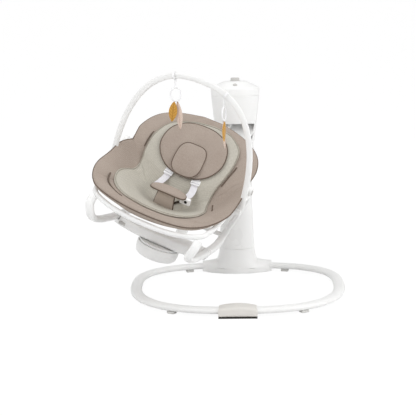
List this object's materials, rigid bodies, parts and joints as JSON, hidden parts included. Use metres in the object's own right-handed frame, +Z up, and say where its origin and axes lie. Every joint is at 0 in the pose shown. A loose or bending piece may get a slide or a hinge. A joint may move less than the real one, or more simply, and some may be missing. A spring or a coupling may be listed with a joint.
{
  "type": "baby swing",
  "caption": "Motorised infant swing: tower on a floor ring, inclined-shaft arm, swivelling lift-off rocker seat with reclining padded back, belly pad and toy bar.",
  "frame": {"origin": "on the floor, at the centre of the sole plate under the tower", "axes": "+Z up, +Y towards the back of the swing, away from the seat; +X to the right as seen from the front"},
  "size_m": [0.8193, 0.7378, 0.7419],
  "materials": {
    "white_plastic": "satin",
    "warm_grey_plastic": "satin",
    "grey_plastic": "satin",
    "dark_plastic": "satin",
    "black_rubber": "matt",
    "steel": "brushed",
    "bronze": "sintered",
    "circuit_board": "solder mask",
    "taupe_fabric": "woven",
    "stone_fabric": "soft knit",
    "amber_fabric": "printed",
    "pale_fabric": "plain",
    "white_webbing": "woven webbing",
    "white_gloss": "gloss"
  },
  "bodies": {
    "base": {"base_ring_left": "white_plastic", "base_ring_right": "white_plastic", "glide_back_left": "black_rubber", "glide_back_right": "black_rubber", "glide_front_left": "black_rubber", "glide_front_right": "black_rubber", "foot_cover": "warm_grey_plastic", "foot_grip": "black_rubber", "base_housing": "white_plastic", "base_sole": "white_plastic", "dc_socket": "dark_plastic", "tower_front": "white_plastic", "tower_rear": "white_plastic", "speaker": "dark_plastic", "head_cap": "white_plastic", "control_board": "circuit_board", "pivot_frame": "warm_grey_plastic", "bearing_front": "bronze", "bearing_rear": "bronze", "gear_case": "dark_plastic", "drive_motor": "steel"},
    "knob": {"speed_knob": "grey_plastic"},
    "power": {"power_button": "grey_plastic"},
    "crank": {"crank_wheel": "warm_grey_plastic"},
    "arm": {"pivot_shaft": "steel", "drive_lever": "steel", "swing_arm": "white_plastic", "turntable_base": "white_plastic"},
    "turntable": {"turntable_plate": "warm_grey_plastic", "seat_cradle": "white_plastic"},
    "latch_l": {"latch_left": "grey_plastic"},
    "latch_r": {"latch_right": "grey_plastic"},
    "rocker": {"seat_frame": "white_plastic", "rocker_side_left": "white_plastic", "rocker_side_right": "white_plastic", "rear_crossbar": "white_plastic", "recline_hinge_left": "white_plastic", "recline_hinge_right": "white_plastic", "bar_socket_left": "white_plastic", "bar_socket_right": "white_plastic", "seat_pad_lower": "taupe_fabric", "seat_liner_lower": "stone_fabric", "crotch_pad": "taupe_fabric", "buckle": "white_gloss"},
    "button_l": {"recline_button_left": "grey_plastic"},
    "button_r": {"recline_button_right": "grey_plastic"},
    "backrest": {"seat_pad_upper": "taupe_fabric", "seat_liner_upper": "stone_fabric", "head_support": "taupe_fabric", "back_frame": "white_plastic", "harness_strap_left": "white_webbing", "harness_strap_right": "white_webbing"},
    "buckle_press": {"buckle_button": "dark_plastic"},
    "bar": {"toy_bar": "white_plastic"},
    "toy_l": {"toy_ring_left": "white_gloss", "leaf_amber_left": "amber_fabric", "leaf_pale_left": "pale_fabric"},
    "toy_r": {"toy_ring_right": "white_gloss", "leaf_amber_right": "amber_fabric", "leaf_pale_right": "pale_fabric"}
  },
  "joints": [
    {"name": "arm_swing", "type": "hinge", "parent": "base", "child": "arm", "pos_m": [0, 0, 0.6], "axis": [0, 0.8192, -0.5736], "range_deg": [-51, 0]},
    {"name": "crank_turn", "type": "hinge", "parent": "base", "child": "crank", "pos_m": [0, -0.02065, 0.57051], "axis": [0, 0.8192, -0.5736], "continuous": true},
    {"name": "knob_turn", "type": "hinge", "parent": "base", "child": "knob", "pos_m": [0, 0, 0.7], "axis": [0, 0, 1], "range_deg": [-150, 150]},
    {"name": "power_press", "type": "slide", "parent": "base", "child": "power", "axis": [0, 0.4429, -0.8966], "range_m": [0, 0.002], "stiffness_N_per_m": 800, "springref_m": -0.001},
    {"name": "seat_swivel", "type": "hinge", "parent": "arm", "child": "turntable", "pos_m": [-0.25694, -0.33165, 0.17462], "axis": [0.3527, -0.0458, 0.9346], "range_deg": [-90, 90]},
    {"name": "latch_left_press", "type": "slide", "parent": "turntable", "child": "latch_l", "axis": [0.2469, 0.968, -0.0458], "range_m": [0, 0.003], "stiffness_N_per_m": 900, "springref_m": -0.001},
    {"name": "latch_right_press", "type": "slide", "parent": "turntable", "child": "latch_r", "axis": [0.2469, 0.968, -0.0458], "range_m": [0, 0.003], "stiffness_N_per_m": 900, "springref_m": -0.001},
    {"name": "seat_lift", "type": "slide", "parent": "turntable", "child": "rocker", "axis": [0.3527, -0.0458, 0.9346], "range_m": [0, 0.06]},
    {"name": "back_recline", "type": "hinge", "parent": "rocker", "child": "backrest", "pos_m": [-0.15925, -0.34433, 0.43352], "axis": [0.9026, -0.2469, -0.3527], "range_deg": [-20, 0]},
    {"name": "recline_left_press", "type": "slide", "parent": "rocker", "child": "button_l", "axis": [0.9026, -0.2469, -0.3527], "range_m": [0, 0.003], "stiffness_N_per_m": 900, "springref_m": -0.001},
    {"name": "recline_right_press", "type": "slide", "parent": "rocker", "child": "button_r", "axis": [-0.9026, 0.2469, 0.3527], "range_m": [0, 0.003], "stiffness_N_per_m": 900, "springref_m": -0.001},
    {"name": "buckle_press_in", "type": "slide", "parent": "rocker", "child": "buckle_press", "axis": [0.369, 0.8657, 0.3383], "range_m": [0, 0.0015], "stiffness_N_per_m": 900, "springref_m": -0.001},
    {"name": "bar_fold", "type": "hinge", "parent": "rocker", "child": "bar", "pos_m": [-0.19537, -0.40164, 0.38121], "axis": [0.9026, -0.2469, -0.3527], "range_deg": [-35, 25]},
    {"name": "toy_left_swing", "type": "hinge", "parent": "bar", "child": "toy_l", "pos_m": [-0.18185, -0.49774, 0.72989], "axis": [0.9331, -0.3584, 0.0304], "range_deg": [-30, 30]},
    {"name": "toy_right_swing", "type": "hinge", "parent": "bar", "child": "toy_r", "pos_m": [-0.0278, -0.54031, 0.67129], "axis": [0.7425, -0.1062, -0.6614], "range_deg": [-30, 30]}
  ]
}
